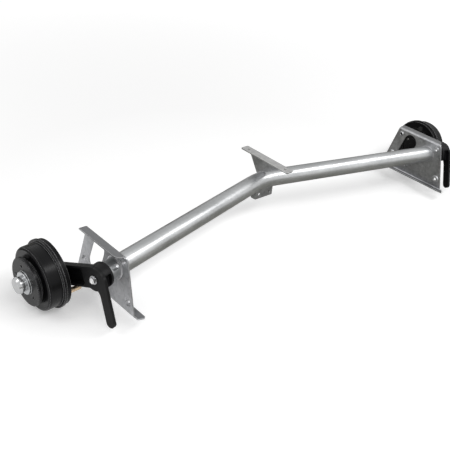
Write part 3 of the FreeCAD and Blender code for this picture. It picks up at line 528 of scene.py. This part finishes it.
onBothSides("armBolt", buildArmBolt, barrelFrame, materials["brightZinc"], "arm", "arm_bolt")

# Threads in the hub's five wheel bolt holes; the bare steel is given black paint as painted shade inside the
# holes
holeThread = {
    "circle": 0.056, "count": 5, "firstAngle": 90.0, "outer": 0.00597, "inner": 0.0053,
    "start": 0.0850, "end": 0.0970, "pitch": 0.0015, "flank": 0.1, "skin": 0.0001, "steps": 24,
}


def buildThreads():
    pitch = holeThread["pitch"]
    root = holeThread["outer"] - holeThread["skin"]
    turns = round((holeThread["end"] - holeThread["start"]) / pitch)
    profile = [(holeThread["outer"], holeThread["start"])]
    for turn in range(turns):
        low = holeThread["start"] + turn * pitch
        profile.append((root, low + holeThread["flank"] * pitch))
        profile.append((holeThread["inner"], low + 0.5 * pitch))
        profile.append((root, low + (1 - holeThread["flank"]) * pitch))
    profile.append((holeThread["outer"], holeThread["end"]))
    sleeves = []
    for index in range(holeThread["count"]):
        angle = math.radians(holeThread["firstAngle"] + 360 / holeThread["count"] * index)
        sleeves.append(spun(profile, holeThread["steps"], closed=True,
                            centre=(holeThread["circle"] * math.cos(angle),
                                    holeThread["circle"] * math.sin(angle), 0)))
    return joined(sleeves)


# Black here is painted shade in the holes, not the threads' own colour
onBothSides("wheelBoltThreads", buildThreads, wheelFrame, materials["blackCasting"], "hub")

# Weld runs: a round bead with ripples, laid round the tube or along a seam
weldRuns = {
    "segments": 10, "rippleLength": 0.0032, "rippleShare": 0.13, "stepsPerRipple": 6,
    "fullBead": 0.003,      # the bead on which the ripples have their full share
    "smoothAngle": 60,
}
plateWelds = {
    "outboard": {"face": -0.8525, "toward": -1, "bead": 0.0043, "outFrom": 0.0021, "lift": 0.0019},
    "inboard": {"face": -0.8475, "toward": 1, "bead": 0.0026, "outFrom": 0.0010, "lift": 0.0008},
}
gussetWelds = {
    "tubeCentre": (0.0039, -0.095), "halfWeb": 0.003, "bead": 0.0024, "startAngle": 30.0, "endAngle": 92.0,
    "sunk": 0.4,            # how much of the bead's radius stands clear of the tube
    "topHeight": -0.005, "topStart": -0.088, "topEnd": 0.088,
}


def stepsAlong(length):
    return int(length / weldRuns["rippleLength"]) * weldRuns["stepsPerRipple"]


def rippled(bm, axisPoint, along, bead):
    # Push the bead's skin in and out along its run
    share = weldRuns["rippleShare"] * bead / weldRuns["fullBead"]
    for vert in bm.verts:
        centre = axisPoint(vert.co)
        wave = math.sin(math.tau * along(vert.co) / weldRuns["rippleLength"])
        vert.co = centre + (vert.co - centre) * (1 + share * wave)


def ringWeld(values):
    radius = layout["tubeRadius"] + values["outFrom"]
    steps = stepsAlong(math.tau * radius)
    bm = bmesh.new()
    bmesh.ops.create_circle(bm, cap_ends=False, segments=weldRuns["segments"], radius=values["bead"])
    bmesh.ops.rotate(bm, cent=(0, 0, 0), matrix=Matrix.Rotation(math.radians(90), 3, "X"), verts=bm.verts)
    bmesh.ops.translate(bm, vec=(radius, 0, values["lift"]), verts=bm.verts)
    bmesh.ops.spin(bm, geom=bm.verts[:] + bm.edges[:], cent=(0, 0, 0), axis=(0, 0, 1), angle=math.tau,
                   steps=steps, use_merge=True)
    waves = round(math.tau * radius / weldRuns["rippleLength"])

    def ringPoint(co):
        flat = Vector((co.x, co.y, 0)).normalized() * radius
        return Vector((flat.x, flat.y, values["lift"]))

    rippled(bm, ringPoint, lambda co: math.atan2(co.y, co.x) / math.tau * waves * weldRuns["rippleLength"],
            values["bead"])
    bmesh.ops.scale(bm, vec=(1 / math.cos(layout["tubeSweep"]), 1, 1), verts=bm.verts)
    crossing = pivot + outboard * ((values["face"] - pivot.x) / outboard.x)
    forward = Vector((0, values["toward"], 0))
    up = Vector((0, 0, 1))
    bm.transform(axesMatrix(forward, up, forward.cross(up), crossing))
    return bm


def seamWeld(start, end):
    # A straight bead between two points
    run = Vector(end) - Vector(start)
    pieces = stepsAlong(run.length)
    bm = bmesh.new()
    bmesh.ops.create_circle(bm, cap_ends=True, segments=weldRuns["segments"], radius=gussetWelds["bead"])
    for piece in range(pieces):
        last = [face for face in bm.faces if face.calc_center_median().z > (piece - 0.5) * run.length / pieces
                and len(face.verts) == weldRuns["segments"]]
        raised = bmesh.ops.extrude_face_region(bm, geom=last)["geom"]
        verts = [item for item in raised if isinstance(item, bmesh.types.BMVert)]
        passed = [face for face in last if face.is_valid and piece > 0]
        bmesh.ops.delete(bm, geom=passed, context="FACES_ONLY")
        bmesh.ops.translate(bm, vec=(0, 0, run.length / pieces), verts=verts)
    rippled(bm, lambda co: Vector((0, 0, co.z)), lambda co: co.z, gussetWelds["bead"])
    turn = Vector((0, 0, 1)).rotation_difference(run).to_matrix()
    bmesh.ops.rotate(bm, cent=(0, 0, 0), matrix=turn, verts=bm.verts)
    bmesh.ops.translate(bm, vec=start, verts=bm.verts)
    return bm


def arcWeld(sideX):
    # The gusset's foot on the tube's round top
    y, z = gussetWelds["tubeCentre"]
    radius = layout["tubeRadius"] + gussetWelds["bead"] * gussetWelds["sunk"]
    startAngle = math.radians(gussetWelds["startAngle"])
    span = math.radians(gussetWelds["endAngle"]) - startAngle
    steps = stepsAlong(span * radius)
    bm = bmesh.new()
    bmesh.ops.create_circle(bm, cap_ends=True, segments=weldRuns["segments"], radius=gussetWelds["bead"])
    bmesh.ops.rotate(bm, cent=(0, 0, 0), matrix=Matrix.Rotation(math.radians(90), 3, "X"), verts=bm.verts)
    bmesh.ops.translate(bm, vec=(radius, 0, 0), verts=bm.verts)
    bmesh.ops.spin(bm, geom=bm.verts[:] + bm.edges[:] + bm.faces[:], cent=(0, 0, 0), axis=(0, 0, 1),
                   angle=span, steps=steps)

    def arcPoint(co):
        return Vector((co.x, co.y, 0)).normalized() * radius

    rippled(bm, arcPoint, lambda co: math.atan2(co.y, co.x) * radius, gussetWelds["bead"])
    bmesh.ops.rotate(bm, cent=(0, 0, 0), matrix=Matrix.Rotation(startAngle, 3, "Z"), verts=bm.verts)
    bm.transform(axesMatrix(Vector((0, 1, 0)), Vector((0, 0, 1)), Vector((1, 0, 0)), Vector((sideX, y, z))))
    return bm


for place, values in plateWelds.items():
    onBothSides(place + "Weld", lambda: ringWeld(values), Matrix.Identity(4), materials["weldMetal"], "axle",
                smoothAngle=weldRuns["smoothAngle"])
webSides = (-gussetWelds["halfWeb"], gussetWelds["halfWeb"])
seams = [arcWeld(sideX) for sideX in webSides]
seams += [seamWeld((sideX, gussetWelds["topStart"], gussetWelds["topHeight"]),
                   (sideX, gussetWelds["topEnd"], gussetWelds["topHeight"])) for sideX in webSides]
newPiece("gussetWeld", meshFrom(joined(seams), "gussetWeld"), materials["weldMetal"], "axle",
         weldRuns["smoothAngle"])
print("detail pieces: arm bolts, threads and welds")

# Floor, lights and camera
studio = {
    "floorSize": 16.0, "floorGap": 0.0005, "floorColour": (0.86, 0.86, 0.86), "floorRough": 0.9,
    "floorSpecular": 0.1,
    "glowReach": (1.2, 4.5), "glowLevel": (0.28, 0.66),     # makes up for the fall-off of the lamps
    "worldLevel": 0.50,
    "floorCards": (
        {"centre": (1.5, 0.0), "size": (4.4, 6.0)},
        {"centre": (-2.7, -1.95), "size": (4.0, 3.0)},
        {"centre": (-2.3, 2.0), "size": (3.2, 3.2)},
    ),
    "cardLift": 0.0003, "cardColour": (0.235, 0.232, 0.21),
    "backCard": {"distance": 3.4, "length": 9.0, "height": 1.1},
    "lampTarget": (0, 0, -0.1),
    "key": {"place": (0.3, -1.6, 2.0), "size": (4.6, 0.62), "power": 54.0},
    "fill": {"place": (-3.0, 0.9, 2.2), "size": (1.6, 1.6), "power": 18.0},
}
camera = {
    "place": (-2.0708, -1.8807, 1.3081),
    "right": (0.7447, -0.6592, 0.1047), "up": (0.2686, 0.4396, 0.8571), "back": (-0.6110, -0.6102, 0.5044),
    "focalPixels": 775.2, "imagePixels": 450, "sensor": 36.0,
}


def makePlane(name, matrix, size):
    bm = bmesh.new()
    bmesh.ops.create_grid(bm, x_segments=1, y_segments=1, size=0.5)
    bmesh.ops.scale(bm, vec=(*size, 1), verts=bm.verts)
    bm.transform(matrix)
    mesh = bpy.data.meshes.new(name)
    bm.to_mesh(mesh)
    bm.free()
    plane = bpy.data.objects.new(name, mesh)
    bpy.context.scene.collection.objects.link(plane)
    return plane


def makeFloor():
    height = cadLow.z - studio["floorGap"]
    floor = makePlane("floor", Matrix.Translation((0, 0, height)), (studio["floorSize"], studio["floorSize"]))
    material, tree, shader, place = startMaterial("paleFloor")
    shader.inputs["Base Color"].default_value = (*studio["floorColour"], 1)
    shader.inputs["Roughness"].default_value = studio["floorRough"]
    shader.inputs["Specular IOR Level"].default_value = studio["floorSpecular"]
    seen = seenDirectly(tree)
    reach = addNode(tree, "ShaderNodeVectorMath", {0: place}, operation="LENGTH").outputs["Value"]
    level = rangeNode(tree, reach, *studio["glowReach"], *studio["glowLevel"])
    glow = addNode(tree, "ShaderNodeEmission", {"Color": (1, 1, 1, 1), "Strength": level})
    lit = addNode(tree, "ShaderNodeAddShader", {0: shader.outputs[0], 1: glow.outputs[0]})
    mix = addNode(tree, "ShaderNodeMixShader", {0: seen, 1: shader.outputs[0], 2: lit.outputs[0]})
    tree.links.new(mix.outputs[0], tree.nodes["Material Output"].inputs[0])
    floor.data.materials.append(material)


def makeCard(name, matrix, size):
    # A grey card that only reflections see, as a studio stands one beside metal
    card = makePlane(name, matrix, size)
    card.visible_camera = False
    card.visible_diffuse = False
    card.visible_shadow = False
    card.visible_transmission = False
    material, tree, shader, place = startMaterial(name)
    shader.inputs["Base Color"].default_value = (*studio["cardColour"], 1)
    shader.inputs["Roughness"].default_value = 1.0
    shader.inputs["Specular IOR Level"].default_value = 0.0
    card.data.materials.append(material)


def makeCards():
    height = cadLow.z - studio["floorGap"] + studio["cardLift"]
    for index, card in enumerate(studio["floorCards"]):
        makeCard("floorCard" + str(index), Matrix.Translation((*card["centre"], height)), card["size"])
    card = studio["backCard"]
    up = Vector((0, 0, 1))
    facing = Vector((1, 1, 0)).normalized()
    middle = facing * card["distance"] + up * (height + card["height"] / 2)
    makeCard("backCard", axesMatrix(up.cross(facing), up, facing, middle), (card["length"], card["height"]))


def seenDirectly(tree):
    # 1 for the rays that the camera, a reflection or a clear body sends out
    path = addNode(tree, "ShaderNodeLightPath")
    seen = mathNode(tree, "ADD", path.outputs["Is Camera Ray"], path.outputs["Is Glossy Ray"])
    return mathNode(tree, "ADD", seen, path.outputs["Is Transmission Ray"], clamp=True)


def makeWorld():
    world = bpy.data.worlds.new("studio")
    bpy.context.scene.world = world
    world.use_nodes = True
    tree = world.node_tree
    background = tree.nodes["Background"]
    background.inputs["Color"].default_value = (1, 1, 1, 1)
    level = rangeNode(tree, seenDirectly(tree), 0.0, 1.0, studio["worldLevel"], 1.0)
    tree.links.new(level, background.inputs["Strength"])


def makeLamp(name):
    values = studio[name]
    data = bpy.data.lights.new(name, "AREA")
    data.shape = "RECTANGLE"
    data.size, data.size_y = values["size"]
    data.energy = values["power"]
    lamp = bpy.data.objects.new(name, data)
    bpy.context.scene.collection.objects.link(lamp)
    lamp.location = values["place"]
    toward = Vector(studio["lampTarget"]) - lamp.location
    lamp.rotation_euler = toward.to_track_quat("-Z", "Y").to_euler()


def makeCamera():
    data = bpy.data.cameras.new("camera")
    data.sensor_width = camera["sensor"]
    data.lens = camera["focalPixels"] / camera["imagePixels"] * camera["sensor"]
    view = bpy.data.objects.new("camera", data)
    bpy.context.scene.collection.objects.link(view)
    view.matrix_world = axesMatrix(Vector(camera["right"]), Vector(camera["up"]), Vector(camera["back"]),
                                   Vector(camera["place"]))
    bpy.context.scene.camera = view


makeFloor()
makeCards()
makeWorld()
for name in ("key", "fill"):
    makeLamp(name)
makeCamera()
bpy.context.scene.view_settings.view_transform = "Standard"
print("studio: floor, world, lamps and camera")
